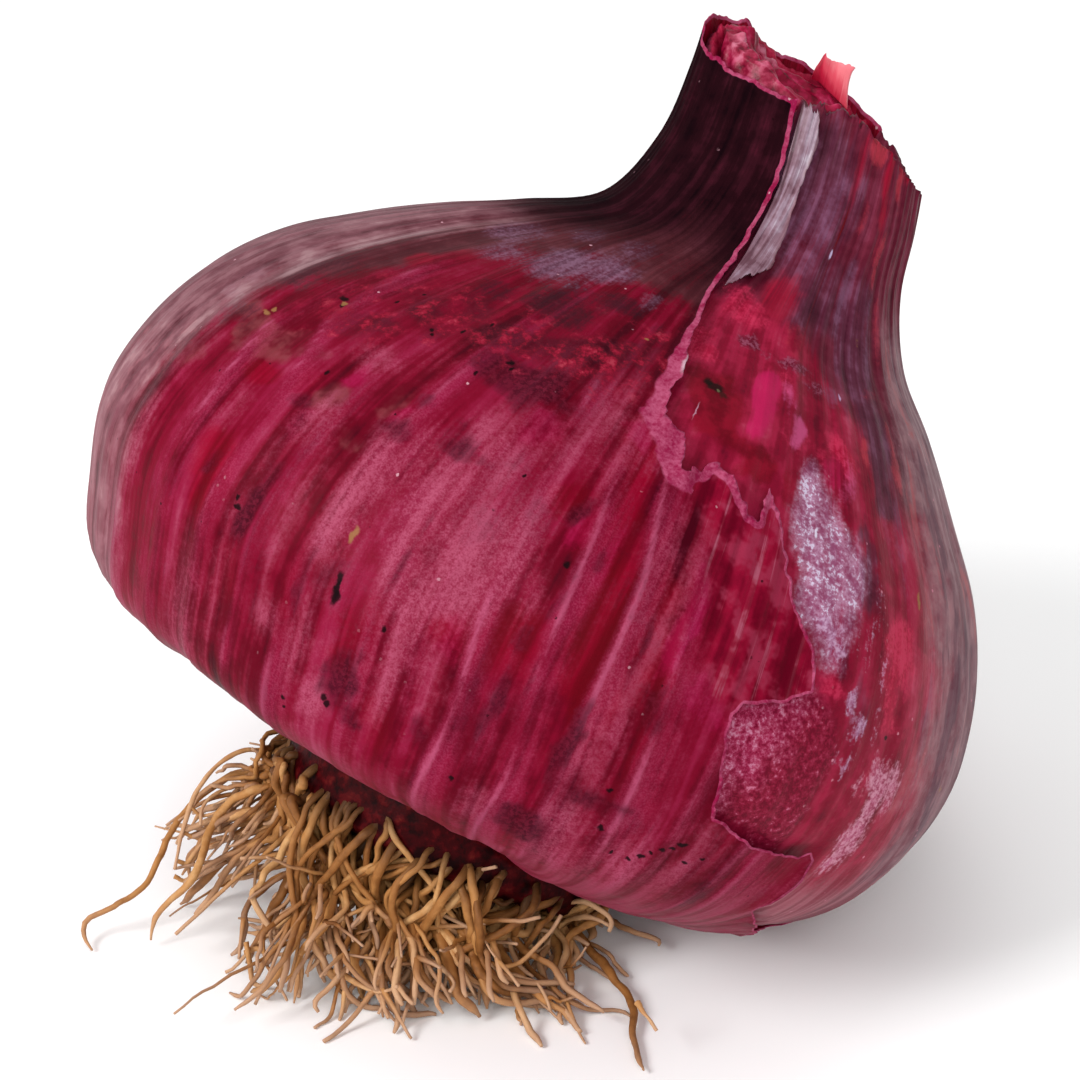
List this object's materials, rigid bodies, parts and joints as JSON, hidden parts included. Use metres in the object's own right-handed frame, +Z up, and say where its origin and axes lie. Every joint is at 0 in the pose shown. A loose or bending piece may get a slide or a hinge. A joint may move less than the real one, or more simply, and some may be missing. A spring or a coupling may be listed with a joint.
{
  "type": "red onion",
  "caption": "Whole red onion bulb leaning over at rest, with a dried neck, a torn papery outer skin, a basal plate and a tangled tuft of dry roots.",
  "frame": {"origin": "middle of the small flattened spot on the bulb's lower side that the onion rests on, in the plane of the surface it lies on", "axes": "+Z up from the surface the onion rests on; the neck leans towards +X and a little towards +Y; -Y is the side with the torn skin and most of the visible roots"},
  "size_m": [0.0859, 0.0887, 0.0842],
  "materials": {
    "second_skin": "smooth, moist-looking crimson scale with purple and red streaks along its length",
    "outer_skin": "dry, thin crimson to purple scale with a satin sheen, pale veins and dark specks",
    "pale_skin": "dry, pale lilac, fibrous, matte",
    "neck_tissue": "torn crimson leaf tissue with pale pink lumps",
    "neck_sheath": "thin salmon pink sheath, translucent at its edge",
    "basal_plate": "corky brown, rough",
    "old_skin": "dark maroon, brittle and ragged",
    "root": "dry fibrous tan, paler at the tips"
  },
  "bodies": {
    "root": {"bulb": "second_skin", "outer_skin": "outer_skin", "skin_strip": "pale_skin", "neck_core": "neck_tissue", "neck_sheath": "neck_sheath", "basal_plate": "basal_plate", "base_collar": "old_skin", "root_01": "root", "root_02": "root", "root_03": "root", "root_04": "root", "root_05": "root", "root_06": "root", "root_07": "root", "root_08": "root", "root_09": "root", "root_10": "root", "root_11": "root", "root_12": "root", "root_13": "root", "root_14": "root", "root_15": "root", "root_16": "root", "root_17": "root", "root_18": "root", "root_19": "root", "root_20": "root", "root_21": "root", "root_22": "root", "root_23": "root", "root_24": "root", "root_25": "root", "root_26": "root", "root_27": "root", "root_28": "root", "root_29": "root", "root_30": "root", "root_31": "root", "root_32": "root", "root_33": "root", "root_34": "root", "root_35": "root", "root_36": "root", "root_37": "root", "root_38": "root", "root_39": "root", "root_40": "root", "root_41": "root", "root_42": "root", "root_43": "root", "root_44": "root"}
  },
  "joints": []
}
